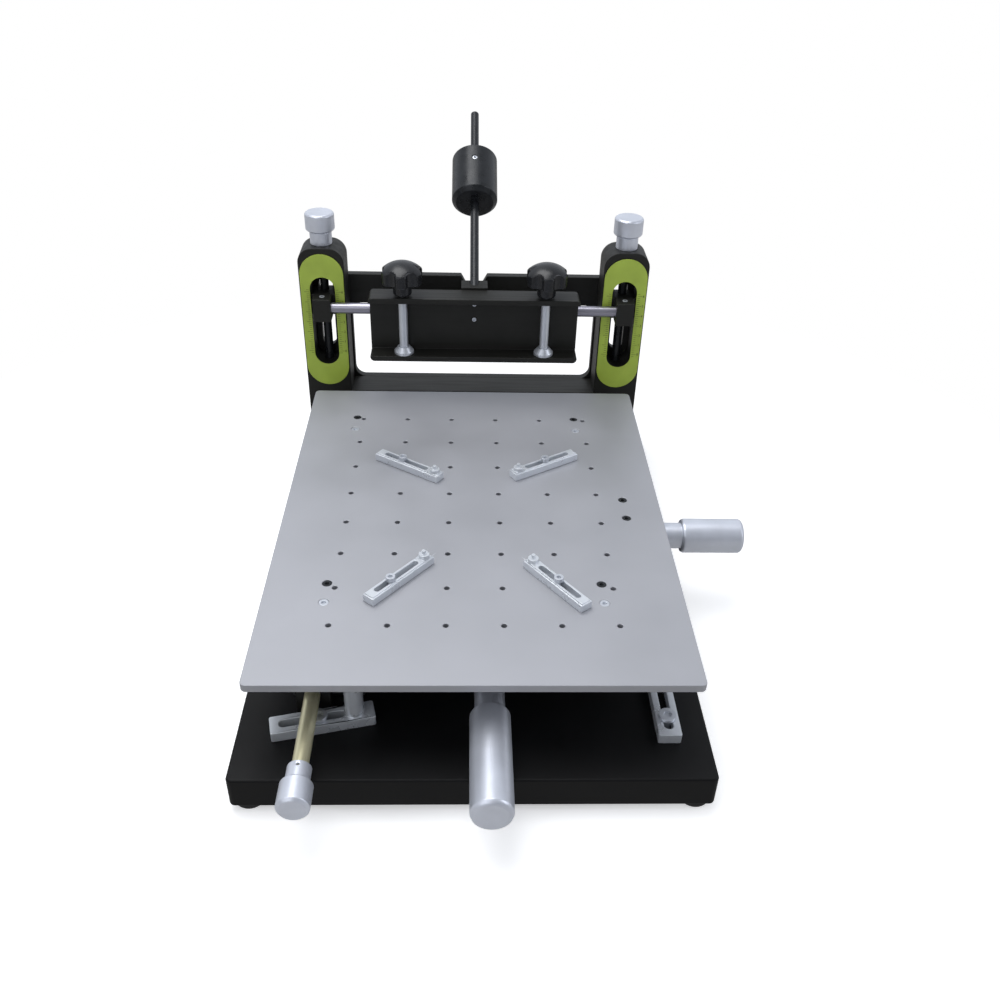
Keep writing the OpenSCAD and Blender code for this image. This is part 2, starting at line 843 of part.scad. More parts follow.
// Long handle along Z with a plain neck, a shoulder and a chamfered end, bored for its screw
module long_handle(neck_len, len) {
    difference() {
        rotate_extrude() polygon([[0, 0], [neck_r, 0], [neck_r, neck_len],
            [handle_r - handle_shoulder, neck_len],
            [handle_r, neck_len + handle_chamfer], [handle_r, neck_len + len - handle_chamfer],
            [handle_r - handle_chamfer, neck_len + len], [0, neck_len + len]]);
        translate([0, 0, -cut]) cylinder(r = screw_r + fit, h = neck_len + len / 2);
    }
}

module y_screw() {
    color(silver) {
        bar_y(screw_r, y_handle_y, y_screw_y1, y_screw_x, y_rod_z);
        for (y = [swivel_y0 - slide_gap - collar_t, swivel_y0 + rod_block_t + slide_gap])
            bar_y(collar_r, y, y + collar_t, y_screw_x, y_rod_z);
    }
}

module y_handle() {
    color(silver) translate([y_screw_x, y_neck_y, y_rod_z]) rotate([90, 0, 0])
        long_handle(y_neck_y - y_handle_y, y_handle_len);
}

module x_screw() {
    half = x_screw_block_w / 2 + slide_gap;
    color(silver) {
        bar_x(screw_r, x_screw_x0, x_handle_x, stack_y, x_screw_z);
        for (x = [x_screw_block_x - half - collar_t, x_screw_block_x + half])
            bar_x(collar_r, x, x + collar_t, stack_y, x_screw_z);
    }
}

module x_handle() {
    color(silver) translate([x_neck_x, stack_y, x_screw_z]) rotate([0, 90, 0])
        long_handle(x_handle_x - x_neck_x, x_handle_len);
}

module angle_screw() {
    rod_y0 = angle_collar_y - angle_collar_len / 2;
    stop_y = angle_bracket_y + angle_bracket_t + slide_gap;
    nut_reach = angle_nut_len / 2 + angle_tail;
    color(zinc) {
        bar_y(angle_rod_r, rod_y0, angle_bracket_y - slide_gap, -angle_x, angle_z);
        bar_y(screw_r, angle_bracket_y - angle_bracket_t, angle_nut_y + nut_reach, -angle_x, angle_z);
        bar_y(angle_rod_r, stop_y, stop_y + angle_stop, -angle_x, angle_z);
    }
}

module angle_knob() {
    color(silver) translate([-angle_x, angle_collar_y, angle_z]) rotate([90, 0, 0]) difference() {
        union() {
            cylinder(r = angle_collar_r, h = angle_collar_len);
            translate([0, 0, angle_collar_len])
                turned(angle_cap_r, angle_cap_len, handle_shoulder, angle_cap_chamfer);
        }
        translate([0, 0, -cut]) cylinder(r = angle_rod_r + fit, h = angle_collar_len / 2 + cut);
        translate([0, 0, angle_collar_len / 4]) rotate([-90, 0, 0])
            cylinder(r = knob_screw_r, h = angle_collar_r + cut);
    }
}

module angle_nut() {
    color("#b9975b") difference() {
        union() {
            block([-angle_x - angle_nut_w / 2, angle_nut_y - angle_nut_len / 2, swivel_top + slide_gap * 3],
                [-angle_x + angle_nut_w / 2, angle_nut_y + angle_nut_len / 2, angle_z + angle_nut_over]);
            bar_z(angle_pin_r, swivel_z + slide_gap, angle_z, -angle_x, angle_nut_y);
        }
        bar_y(screw_r + fit, angle_nut_y - angle_nut_len, angle_nut_y + angle_nut_len, -angle_x, angle_z);
    }
}

// Lift

module lift_screw(side) {
    knob_z = post_top + lift_collar_h + knob_gap;
    color(silver) translate([side * post_x, lift_y, 0]) {
        bar_z(screw_r, slot_z - screw_foot + stage_gap, knob_z + knob_chamfer, 0, 0);
        translate([0, 0, knob_z]) turned(lift_knob_r, lift_knob_h, knob_chamfer, knob_chamfer);
    }
}

module slider(side) {
    color(black) translate([side * post_x, 0, 0]) difference() {
        union() {
            block([slider_gap - slot_w / 2, post_y + guide_in, hinge_z - guide_h / 2],
                [slot_w / 2 - slider_gap, post_y + pocket_d - 2 * slide_gap, hinge_z + guide_h / 2]);
            block([-nose_w / 2, nose_y, hinge_z - nose_h / 2],
                [nose_w / 2, post_y + guide_in, hinge_z + nose_h / 2]);
        }
        bar_z(screw_r + fit, hinge_z - guide_h, hinge_z + guide_h, 0, lift_y);
        bar_x(rod_r + fit, -nose_w, nose_w, hinge_y, hinge_z);
    }
}

module left_lift_screw() { lift_screw(-1); }
module right_lift_screw() { lift_screw(1); }
module left_slider() { slider(-1); }
module right_slider() { slider(1); }

// Clamp

module clamp_channel() {
    color(black) difference() {
        intersection() {
            translate([-clamp_w / 2, 0, 0]) rotate([90, 0, 90]) linear_extrude(clamp_w) difference() {
                translate([clamp_y0, clamp_z]) square([clamp_d, clamp_h]);
                translate([clamp_y0 - cut, clamp_z + clamp_t])
                    square([clamp_d - clamp_t + cut, clamp_h - 2 * clamp_t]);
            }
            upright(clamp_y0 - cut, clamp_y1 + cut) translate([0, clamp_z + clamp_h / 2])
                rounded_rect(clamp_w, clamp_h, clamp_round);
        }
        for (s = [-1, 1])
            bar_z(screw_r + fit, clamp_top - clamp_t - cut, clamp_top + cut, s * spindle_x, jaw_mid_y);
        for (z = [hinge_z - block_screw_down, hinge_z + block_screw_up])
            bar_y(block_screw_r + fit, clamp_y1 - clamp_t - cut, clamp_y1 + cut, 0, z);
    }
}

module hinge_shaft() {
    end = post_x + nose_w / 2 - shaft_in;
    color(silver) bar_x(rod_r, -end, end, hinge_y, hinge_z);
}

// Places its children on the rod's axis, Z along the rod
module on_rod(at) {
    translate([0, rod_start_y, rod_start_z]) rotate([-rod_tilt, 0, 0]) translate([0, 0, at]) children();
}

module rod_block() {
    color(black) difference() {
        block([-block_w / 2, clamp_y1, hinge_z - block_down],
            [block_w / 2, clamp_y1 + block_back, hinge_z + block_up]);
        bar_x(rod_r + fit, -block_w, block_w, hinge_y, hinge_z);
        on_rod(-fit) cylinder(r = screw_r + fit, h = block_back * 2);
    }
}

module counter_rod() {
    color("#3a3a3e") on_rod(0) turned(screw_r, counter_len, 0, rod_round);
}

module counterweight() {
    color(black) on_rod(weight_at - weight_len / 2) difference() {
        turned(weight_r, weight_len, weight_chamfer, weight_chamfer);
        translate([0, 0, -cut]) cylinder(r = screw_r + fit, h = weight_len + 2 * cut);
        translate([0, 0, weight_len * 2 / 3]) rotate([90, 0, 0])
            cylinder(r = set_screw_r, h = weight_r + cut);
    }
}

module clamp_pad(side) {
    color(silver) translate([side * spindle_x, jaw_mid_y, pad_z]) difference() {
        rotate_extrude() polygon([[0, 0], [pad_foot_r, 0], [pad_foot_r, pad_rim_h],
            [pad_neck_r, pad_tall], [0, pad_tall]]);
        translate([0, 0, pad_floor]) cylinder(r = screw_r + fit, h = pad_tall);
    }
}

module spindle(side) {
    color(silver) bar_z(screw_r, pad_z + pad_floor + slide_gap, star_z + star_bore_h - slide_gap,
        side * spindle_x, jaw_mid_y);
}

module star_knob(side) {
    color(black) translate([side * spindle_x, jaw_mid_y, star_z]) difference() {
        union() {
            cylinder(r = star_neck_r, h = star_neck_h + cut);
            translate([0, 0, star_neck_h]) difference() {
                intersection() {
                    cylinder(r = star_r, h = star_h);
                    translate([0, 0, star_h - star_dome_r]) sphere(star_dome_r);
                }
                for (i = [0 : star_lobes - 1]) rotate(i * 360 / star_lobes)
                    translate([star_flute_at, 0, -cut]) cylinder(r = star_flute_r, h = star_h + 2 * cut);
            }
        }
        translate([0, 0, -cut]) cylinder(r = screw_r + fit, h = star_bore_h + cut);
    }
}

module left_pad() { clamp_pad(-1); }
module right_pad() { clamp_pad(1); }
module left_spindle() { spindle(-1); }
module right_spindle() { spindle(1); }
module left_star_knob() { star_knob(-1); }
module right_star_knob() { star_knob(1); }

// Locators on the table

// Arm with its middle at the origin and its pin towards +X
module arm_shape() {
    difference() {
        union() {
            linear_extrude(arm_h - arm_chamfer) square([arm_len, arm_w], center = true);
            linear_extrude(arm_h)
                square([arm_len - 2 * arm_chamfer, arm_w - 2 * arm_chamfer], center = true);
            translate([arm_len / 2 - arm_boss_in, 0, 0]) {
                cylinder(r = arm_boss_r, h = arm_h + arm_boss_h);
                cylinder(r = arm_pin_r, h = arm_h + arm_boss_h + arm_pin_h);
            }
        }
        translate([-arm_boss_in / 2, 0, -cut]) linear_extrude(arm_h + 2 * cut)
            rotate(90) stadium(arm_slot_w, arm_slot_len);
    }
}

module arm(i) {
    color(silver) translate([grid_x(arm_nx[i]), grid_y(arm_ny[i]), table_top + slide_gap])
        rotate(arm_angles[i])
        translate([arm_past_shares[i] * arm_len, 0, 0]) arm_shape();
}

module arm_screw(i) {
    color(silver) translate([grid_x(arm_nx[i]), grid_y(arm_ny[i]), table_top + arm_h + 2 * slide_gap])
        socket_screw(arm_screw_r, arm_h + table_t, arm_head_r, arm_head_h);
}

module arm_front_left() { arm(0); }
module arm_front_right() { arm(1); }
module arm_rear_left() { arm(2); }
module arm_rear_right() { arm(3); }
module arm_screw_front_left() { arm_screw(0); }
module arm_screw_front_right() { arm_screw(1); }
module arm_screw_rear_left() { arm_screw(2); }
module arm_screw_rear_right() { arm_screw(3); }

// Slotted bars on the base

// Bar with its middle at the origin, a raised rim round its slot and room for a post towards +X
module bar_shape() {
    difference() {
        linear_extrude(bar_h) rounded_rect(bar_len, bar_w, bar_rim);
        translate([bar_slot_len / 2 - bar_len / 2 + bar_slot_in, 0, -cut]) linear_extrude(bar_h + 2 * cut)
            rotate(90) stadium(bar_slot_w, bar_slot_len);
    }
}

module bar_at(x, y, turn, past) {
    translate([x, y, base_top + slide_gap]) rotate(turn) translate([past, 0, 0]) children();
}

module left_bar() {
    color(silver) bar_at(left_bar_x, bar_screw_y, left_bar_angle, left_bar_past) {
        bar_shape();
        bar_z(rest_r, 0, table_z - base_top - rest_gap, bar_len / 2 - rest_in, 0);
    }
}

module right_bar() {
    color(silver) bar_at(right_bar_x, bar_screw_y, right_bar_angle, right_bar_past) bar_shape();
}

module bar_screw(x, y) {
    color(silver) translate([x, y, base_top + bar_h + 2 * slide_gap])
        socket_screw(bar_screw_r, bar_h + base_t + bar_screw_out, bar_head_r, bar_head_h);
}

module left_bar_screw() { bar_screw(left_bar_x, bar_screw_y); }
module right_bar_screw() { bar_screw(right_bar_x, bar_screw_y); }

base_tray();
rubber_feet();
glide_pads();
pivot_pin();
tie_beam();
left_post();
right_post();
scale_labels();
lift_bushes();
back_plate();
frame_screws();
angle_bracket();
swivel_plate();
y_rods();
y_rod_blocks();
y_screw_bracket();
saddle_plate();
y_bearing_blocks();
x_rods();
x_rod_blocks();
saddle_nuts();
table_plate();
x_bearing_blocks();
x_screw_block();
table_screws_black();
table_screws_zinc();
y_screw();
y_handle();
x_screw();
x_handle();
angle_screw();
angle_knob();
angle_nut();
left_lift_screw();
right_lift_screw();
left_slider();
right_slider();
clamp_channel();
hinge_shaft();
rod_block();
counter_rod();
left_pad();
right_pad();
left_spindle();
right_spindle();
left_star_knob();
right_star_knob();
counterweight();
arm_front_left();
arm_front_right();
arm_rear_left();
arm_rear_right();
arm_screw_front_left();
arm_screw_front_right();
arm_screw_rear_left();
arm_screw_rear_right();
left_bar();
right_bar();
left_bar_screw();
right_bar_screw();
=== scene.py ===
import json
import math

import bmesh
import bpy
from mathutils import Matrix, Vector


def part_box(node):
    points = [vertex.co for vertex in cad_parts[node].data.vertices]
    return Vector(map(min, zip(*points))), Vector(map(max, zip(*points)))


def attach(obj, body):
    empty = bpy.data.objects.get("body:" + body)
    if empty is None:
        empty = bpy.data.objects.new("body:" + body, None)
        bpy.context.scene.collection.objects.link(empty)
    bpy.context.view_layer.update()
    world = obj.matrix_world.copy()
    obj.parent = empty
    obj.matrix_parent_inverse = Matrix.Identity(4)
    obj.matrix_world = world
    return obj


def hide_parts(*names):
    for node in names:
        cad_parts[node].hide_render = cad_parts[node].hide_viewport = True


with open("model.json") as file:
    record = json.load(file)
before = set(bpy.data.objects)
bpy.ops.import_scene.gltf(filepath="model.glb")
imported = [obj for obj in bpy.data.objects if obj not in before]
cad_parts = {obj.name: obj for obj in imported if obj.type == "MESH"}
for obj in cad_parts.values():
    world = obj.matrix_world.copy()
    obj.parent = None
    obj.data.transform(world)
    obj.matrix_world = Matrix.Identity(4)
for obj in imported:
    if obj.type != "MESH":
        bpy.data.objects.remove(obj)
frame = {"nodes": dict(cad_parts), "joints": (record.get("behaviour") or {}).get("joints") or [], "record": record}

bl_info = {
    "name": "Tabletop screen printing press",
    "version": (1, 0, 0),
    "blender": (4, 5, 0),
    "location": "View3D > Sidebar > Press",
    "description": "Finishes, threads, scales and studio for a small stencil printing press",
    "category": "Object",
}

MM = 0.001
BODY_OF = {
    node: body
    for body, nodes in frame["record"]["behaviour"]["bodies"].items()
    for node in nodes
}
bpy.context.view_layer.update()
# Ridge of an M8 thread: its foot inside the 8 mm shank and its crest just outside
THREAD_ROOT_MM = 3.7
THREAD_CREST_MM = 4.04


# Sizes and colours that a user would change

class PressSizes(bpy.types.PropertyGroup):
    edge_mm: bpy.props.FloatProperty(
        name="Machined edge", default=0.4, min=0.1, max=1.0,
        description="Width of the broken edges of machined pieces, in millimetres")
    fold_mm: bpy.props.FloatProperty(
        name="Folded edge", default=1.6, min=0.5, max=3.0,
        description="Radius of the folded edges of the base tray, in millimetres")
    thread_mm: bpy.props.FloatProperty(
        name="Thread pitch", default=1.25, min=0.5, max=2.0,
        description="Pitch of the M8 threads, in millimetres")
    tick_mm: bpy.props.FloatProperty(
        name="Tick spacing", default=2.0, min=1.0, max=5.0,
        description="Distance between the ticks of the height scales, in millimetres")


class PressColours(bpy.types.PropertyGroup):
    table: bpy.props.StringProperty(
        name="Table", default="#B2B3B8", description="Blasted aluminium of the table")
    turned: bpy.props.StringProperty(
        name="Turned parts", default="#E0E4EE", description="Turned aluminium of handles and knobs")
    black: bpy.props.StringProperty(
        name="Black parts", default="#1B1B18", description="Anodised posts, clamp and sliders")
    tray: bpy.props.StringProperty(
        name="Base tray", default="#09090A", description="Powder coated base")
    label: bpy.props.StringProperty(
        name="Labels", default="#A9BF48", description="Green of the two height scales")


# Node materials

def linear(code):
    """Linear colour of an sRGB hex value."""
    parts = [int(code[i:i + 2], 16) / 255 for i in (1, 3, 5)]
    return [c / 12.92 if c <= 0.04045 else ((c + 0.055) / 1.055) ** 2.4 for c in parts] + [1.0]


def add(tree, kind, values=None, links=None, **settings):
    """Add one node with its settings, socket values and links."""
    made = tree.nodes.new(kind)
    for key, value in settings.items():
        setattr(made, key, value)
    for key, value in (values or {}).items():
        made.inputs[key].default_value = value
    for key, source in (links or {}).items():
        tree.links.new(source, made.inputs[key])
    return made


def blank(name):
    """A material with only an output, and its tree with Object coordinates."""
    material = bpy.data.materials.new(name)
    material.use_nodes = True
    tree = material.node_tree
    tree.nodes.clear()
    place = add(tree, "ShaderNodeTexCoord").outputs["Object"]
    return material, tree, place


def close(tree, shader):
    """Join a shader to the material's output."""
    add(tree, "ShaderNodeOutputMaterial", links={"Surface": shader.outputs[0]})


def grain(tree, place, size_mm, detail=2.0, stretch=(1, 1, 1)):
    """Noise whose cells are about size_mm across, longer along an axis with a small stretch."""
    spread = add(tree, "ShaderNodeMapping", {"Scale": stretch}, {"Vector": place})
    return add(tree, "ShaderNodeTexNoise", {"Scale": 1 / (size_mm * MM), "Detail": detail},
               {"Vector": spread.outputs[0]}).outputs["Fac"]


def ramp(tree, factor, low, high, first, last):
    """Colours from first to last while the factor goes from low to high."""
    made = add(tree, "ShaderNodeValToRGB", links={"Fac": factor})
    made.color_ramp.elements[0].position = low
    made.color_ramp.elements[1].position = high
    made.color_ramp.elements[0].color = first
    made.color_ramp.elements[1].color = last
    return made.outputs["Color"]


def span(tree, factor, low, high, first, last):
    """A number from first to last while the factor goes from low to high."""
    return add(tree, "ShaderNodeMapRange",
               {"From Min": low, "From Max": high, "To Min": first, "To Max": last},
               {"Value": factor}).outputs["Result"]


def relief(tree, height, depth_mm, strength=1.0):
    """Bump of a real depth."""
    return add(tree, "ShaderNodeBump", {"Strength": strength, "Distance": depth_mm * MM},
               {"Height": height}).outputs["Normal"]


def shade(code, factor):
    """The hex colour in linear form, made lighter or darker by a factor."""
    return [min(1.0, c * factor) for c in linear(code)[:3]] + [1.0]


def powder_coat(code):
    # Powder coat on sheet steel: a fine pebbled skin, half matt, with faint grey rubbing
    material, tree, place = blank("powder_coated_steel")
    pebble = grain(tree, place, 0.9)
    cloud = grain(tree, place, 55, 4)
    colour = ramp(tree, cloud, 0.35, 0.7, linear(code), shade(code, 1.5))
    rough = span(tree, cloud, 0.3, 0.75, 0.46, 0.62)
    close(tree, add(tree, "ShaderNodeBsdfPrincipled", {"IOR": 1.5, "Specular IOR Level": 0.2}, {
        "Base Color": colour, "Roughness": rough, "Normal": relief(tree, pebble, 0.05, 0.6)}))
    return material


def black_anodised(code):
    # Black anodised aluminium: satin, with the faint lines of the cutter under the dye
    material, tree, place = blank("black_anodised_aluminium")
    lines = grain(tree, place, 3, 3, (0.06, 1, 1))
    cloud = grain(tree, place, 30, 3)
    colour = ramp(tree, cloud, 0.3, 0.75, linear(code), shade(code, 1.45))
    rough = span(tree, lines, 0.3, 0.7, 0.4, 0.54)
    close(tree, add(tree, "ShaderNodeBsdfPrincipled", {"Specular IOR Level": 0.35}, {
        "Base Color": colour, "Roughness": rough, "Normal": relief(tree, lines, 0.02, 0.35)}))
    return material


def blasted_aluminium(code):
    # Bead blasted and clear anodised aluminium: an even matt grey with a fine sparkle
    material, tree, place = blank("bead_blasted_aluminium")
    # The real pits are 0.1 mm; these are 0.7 mm, so that they show
    pits = grain(tree, place, 0.7, 1)
    cloud = grain(tree, place, 90, 4)
    colour = ramp(tree, cloud, 0.3, 0.72, shade(code, 0.93), shade(code, 1.06))
    rough = span(tree, cloud, 0.3, 0.7, 0.5, 0.62)
    close(tree, add(tree, "ShaderNodeBsdfPrincipled", {"Metallic": 0.7}, {
        "Base Color": colour, "Roughness": rough, "Normal": relief(tree, pits, 0.03, 0.5)}))
    return material


def milled_aluminium(code):
    # Milled aluminium blocks: bright, with parallel marks of the cutter
    material, tree, place = blank("milled_aluminium")
    marks = grain(tree, place, 1.2, 2, (0.05, 1, 1))
    cloud = grain(tree, place, 25, 2)
    colour = ramp(tree, cloud, 0.3, 0.7, shade(code, 0.9), shade(code, 1.05))
    rough = span(tree, marks, 0.3, 0.7, 0.26, 0.42)
    close(tree, add(tree, "ShaderNodeBsdfPrincipled", {"Metallic": 1.0}, {
        "Base Color": colour, "Roughness": rough, "Normal": relief(tree, marks, 0.02, 0.4)}))
    return material


def turned_aluminium(code, axis):
    # Turned aluminium: fine rings round the axis that draw the highlight into one long band
    material, tree, place = blank("turned_aluminium_" + axis)
    squeeze = {"x": (1, 0.001, 0.001), "y": (0.001, 1, 0.001), "z": (0.001, 0.001, 1)}[axis]
    # Real tool marks are 0.1 mm apart; these are 0.5 mm, so that they show
    rings = grain(tree, place, 0.5, 2, squeeze)
    cloud = grain(tree, place, 18, 3)
    colour = ramp(tree, cloud, 0.3, 0.75, shade(code, 0.92), shade(code, 1.04))
    rough = span(tree, rings, 0.3, 0.7, 0.32, 0.44)
    close(tree, add(tree, "ShaderNodeBsdfPrincipled", {"Metallic": 0.65}, {
        "Base Color": colour, "Roughness": rough, "Normal": relief(tree, rings, 0.02, 0.35)}))
    return material


def plated_steel(name, code, low, high, mottle_mm=6.0, metallic=0.75):
    # Plated or ground steel: smooth and bright, with a soft mottle in the plating
    material, tree, place = blank(name)
    cloud = grain(tree, place, mottle_mm, 3)
    fine = grain(tree, place, 2.5, 2)
    colour = ramp(tree, cloud, 0.3, 0.75, shade(code, 0.93), shade(code, 1.03))
    rough = span(tree, cloud, 0.3, 0.75, low, high)
    close(tree, add(tree, "ShaderNodeBsdfPrincipled", {"Metallic": metallic}, {
        "Base Color": colour, "Roughness": rough, "Normal": relief(tree, fine, 0.01, 0.2)}))
    return material


def black_oxide(code):
    # Black oxide on steel, oiled: a deep blue black with a soft shine
    material, tree, place = blank("black_oxide_steel")
    cloud = grain(tree, place, 8, 3)
    colour = ramp(tree, cloud, 0.3, 0.75, linear(code), shade(code, 1.7))
    rough = span(tree, cloud, 0.3, 0.75, 0.24, 0.4)
    close(tree, add(tree, "ShaderNodeBsdfPrincipled", {"Metallic": 0.3}, {
        "Base Color": colour, "Roughness": rough}))
    return material


def moulded(name, code, rough_low, rough_high, grain_mm, depth_mm):
    # Moulded plastic or rubber: an even colour with the fine grain of the mould
    material, tree, place = blank(name)
    skin = grain(tree, place, grain_mm, 2)
    cloud = grain(tree, place, 14, 3)
    colour = ramp(tree, cloud, 0.3, 0.75, linear(code), shade(code, 1.35))
    rough = span(tree, cloud, 0.3, 0.75, rough_low, rough_high)
    close(tree, add(tree, "ShaderNodeBsdfPrincipled", {"IOR": 1.5}, {
        "Base Color": colour, "Roughness": rough, "Normal": relief(tree, skin, depth_mm, 0.4)}))
    return material


def label_film(code):
    # Laminated label: flat colour under a satin film, a little faded in patches
    material, tree, place = blank("laminated_label")
    cloud = grain(tree, place, 20, 4)
    film = grain(tree, place, 1.5, 1)
    colour = ramp(tree, cloud, 0.3, 0.75, shade(code, 0.9), shade(code, 1.1))
    close(tree, add(tree, "ShaderNodeBsdfPrincipled", {"IOR": 1.5, "Roughness": 0.38}, {
        "Base Color": colour, "Normal": relief(tree, film, 0.01, 0.3)}))
    return material


def finish(name):
    """The named finish, made once."""
    colours = bpy.context.scene.press_colours
    makers = {
        "tray": lambda: powder_coat(colours.tray),
        "black": lambda: black_anodised(colours.black),
        "table": lambda: blasted_aluminium(colours.table),
        "milled": lambda: milled_aluminium("#B9BBBF"),
        "turned_x": lambda: turned_aluminium(colours.turned, "x"),
        "turned_y": lambda: turned_aluminium(colours.turned, "y"),
        "turned_z": lambda: turned_aluminium(colours.turned, "z"),
        "ground": lambda: plated_steel("ground_steel", "#ADABB7", 0.28, 0.34, 14.0, 0.9),
        "zinc": lambda: plated_steel("zinc_plated_steel", "#D6DAE1", 0.28, 0.36, 8.0, 0.6),
        "yellow_zinc": lambda: plated_steel("yellow_zinc_steel", "#E6E0BA", 0.28, 0.38, 20.0, 0.65),
        "nickel": lambda: plated_steel("nickel_plated_steel", "#E0E4E9", 0.26, 0.34, 12.0, 0.5),
        "brass": lambda: plated_steel("machined_brass", "#B9975B", 0.28, 0.38, 9.0),
        "oxide": lambda: black_oxide("#1D1F22"),
        "phenolic": lambda: moulded("moulded_phenolic", "#17181B", 0.2, 0.34, 1.2, 0.03),
        "rubber": lambda: moulded("moulded_rubber", "#1D1D1D", 0.65, 0.8, 0.8, 0.05),
        "nylon": lambda: moulded("turned_nylon", "#D9D5C8", 0.45, 0.55, 0.8, 0.02),
        "label": lambda: label_film(colours.label),
        "ink": lambda: moulded("label_ink", "#2B3014", 0.4, 0.5, 1.0, 0.005),
    }
    stored = "finish_" + name
    scene = bpy.context.scene
    if stored not in scene:
        scene[stored] = makers[name]()
    return scene[stored]


# Making pieces

def piece(name, bm, materials, body, replaced=(), smooth_deg=38):
    """Turn a bmesh into a piece at the origin that rides on its body."""
    mesh = bpy.data.meshes.new(name)
    bm.to_mesh(mesh)
    bm.free()
    made = bpy.data.objects.new(name, mesh)
    bpy.context.scene.collection.objects.link(made)
    for material in materials:
        mesh.materials.append(material)
    mesh.shade_smooth()
    mesh.set_sharp_from_angle(angle=math.radians(smooth_deg))
    weighted = made.modifiers.new("even_normals", "WEIGHTED_NORMAL")
    weighted.keep_sharp = True
    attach(made, body)
    if replaced:
        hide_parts(*replaced)
    return made


def sharp_edges(bm, angle_deg=35):
    """Edges between two faces that meet at more than the angle."""
    return [e for e in bm.edges
            if len(e.link_faces) == 2 and e.calc_face_angle() > math.radians(angle_deg)]


def node_copy(node):
    """A merged copy of a CAD node with its flat faces joined."""
    bm = bmesh.new()
    bm.from_mesh(frame["nodes"][node].data)
    bmesh.ops.remove_doubles(bm, verts=bm.verts, dist=0.001 * MM)
    bmesh.ops.dissolve_limit(bm, angle_limit=math.radians(0.3), verts=bm.verts, edges=bm.edges)
    return bm


def dress(node, finish_name, edge_mm=None, steps=2, second=None, test=None, end=None):
    """Show a CAD node as a copy with broken edges and one finish, or two told apart by a test."""
    bm = node_copy(node)
    if end:
        deeper_chamfer(bm, node, *end)
    width = edge_mm if edge_mm is not None else bpy.context.scene.press_sizes.edge_mm
    if width:
        bmesh.ops.bevel(bm, geom=sharp_edges(bm), offset=width * MM, offset_type="OFFSET",
                        segments=steps, profile=0.5, affect="EDGES", clamp_overlap=False,
                        material=-1)
    materials = [finish(finish_name)]
    if second:
        materials.append(finish(second))
        for face in bm.faces:
            face.material_index = int(test(face.calc_center_median() / MM))
    return piece(node + "_finished", bm, materials, BODY_OF[node], [node])


def deeper_chamfer(bm, node, axis, end, cut_mm):
    """Cut the chamfer round the end of a turned part further back, 45 degrees as before."""
    centre = middle(node)
    low, high = corners(node)
    tip = (low if end < 0 else high)[axis]
    reach_mm = 6
    near = [vert for vert in bm.verts if abs(vert.co[axis] / MM - tip) < reach_mm]
    out = {vert: (vert.co / MM - centre) for vert in near}
    for at in out.values():
        at[axis] = 0
    full = max(at.length for at in out.values())
    for vert, at in out.items():
        if abs(vert.co[axis] / MM - tip) < 0.01 and at.length > full / 2:
            radial = at.normalized() * (full - cut_mm) * MM
            vert.co = centre * MM + radial
            vert.co[axis] = tip * MM
        elif at.length > full - 0.05:
            vert.co[axis] = (tip - end * cut_mm) * MM
    return bm


def middle(node):
    """Centre of a CAD node's box, in millimetres."""
    low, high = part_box(node)
    return (low + high) / 2 / MM


def corners(node):
    """Lowest and highest corner of a CAD node's box, in millimetres."""
    low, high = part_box(node)
    return low / MM, high / MM


def put(bm, at_mm, direction=(0, 0, 1)):
    """Turn a bmesh made along Z into a direction and move it to its place."""
    turn = Vector((0, 0, 1)).rotation_difference(Vector(direction)).to_matrix().to_4x4()
    bmesh.ops.transform(bm, matrix=Matrix.Translation(Vector(at_mm) * MM) @ turn, verts=bm.verts)
    return bm


def thread(root_mm, crest_mm, length_mm, pitch_mm, start_mm=0.0):
    """A closed helical ridge along Z whose foot lies inside the shank."""
    bm = bmesh.new()
    steps = 24
    turns = length_mm / pitch_mm
    profile = [(root_mm, -0.42), (crest_mm, -0.06), (crest_mm, 0.06), (root_mm, 0.42)]
    verts = [bm.verts.new((r * MM, 0, (start_mm + z * pitch_mm) * MM)) for r, z in profile]
    face = bm.faces.new(verts)
    count = max(steps, int(round(turns * steps)))
    bmesh.ops.spin(bm, geom=[face, *face.edges, *face.verts], cent=(0, 0, 0), axis=(0, 0, 1),
                   dvec=(0, 0, length_mm / count * MM), angle=math.tau * turns, steps=count,
                   use_merge=False, use_duplicate=False)
    bmesh.ops.recalc_face_normals(bm, faces=bm.faces)
    return bm


def socket_set_screw(radius_mm, length_mm):
    """A set screw along Z with a hexagon socket and a broken rim, its top at the origin."""
    bm = bmesh.new()
    bmesh.ops.create_cone(bm, cap_ends=True, segments=36, radius1=radius_mm * MM,
                          radius2=radius_mm * MM, depth=length_mm * MM)
    bmesh.ops.translate(bm, verts=bm.verts, vec=(0, 0, -length_mm / 2 * MM))
    top = max(bm.faces, key=lambda f: f.calc_center_median().z)
    rim = list(top.edges)
    bmesh.ops.bevel(bm, geom=rim, offset=radius_mm * 0.14 * MM, offset_type="OFFSET", segments=2,
                    profile=0.5, affect="EDGES", clamp_overlap=True, material=-1)
    top = max(bm.faces, key=lambda f: f.calc_center_median().z)
    bmesh.ops.inset_region(bm, faces=[top], thickness=radius_mm * 0.3 * MM, use_even_offset=True)
    side = math.tau / 6
    for vert in top.verts:
        turn = math.atan2(vert.co.y, vert.co.x)
        across = math.cos((turn % side) - side / 2) / math.cos(side / 2)
        flat = Vector((vert.co.x, vert.co.y, 0)).normalized() * radius_mm * 0.56 * MM / across
        vert.co.x, vert.co.y = flat.x, flat.y
    deep = bmesh.ops.extrude_discrete_faces(bm, faces=[top])["faces"]
    bmesh.ops.translate(bm, verts=deep[0].verts, vec=(0, 0, -radius_mm * 0.8 * MM))
    return bm


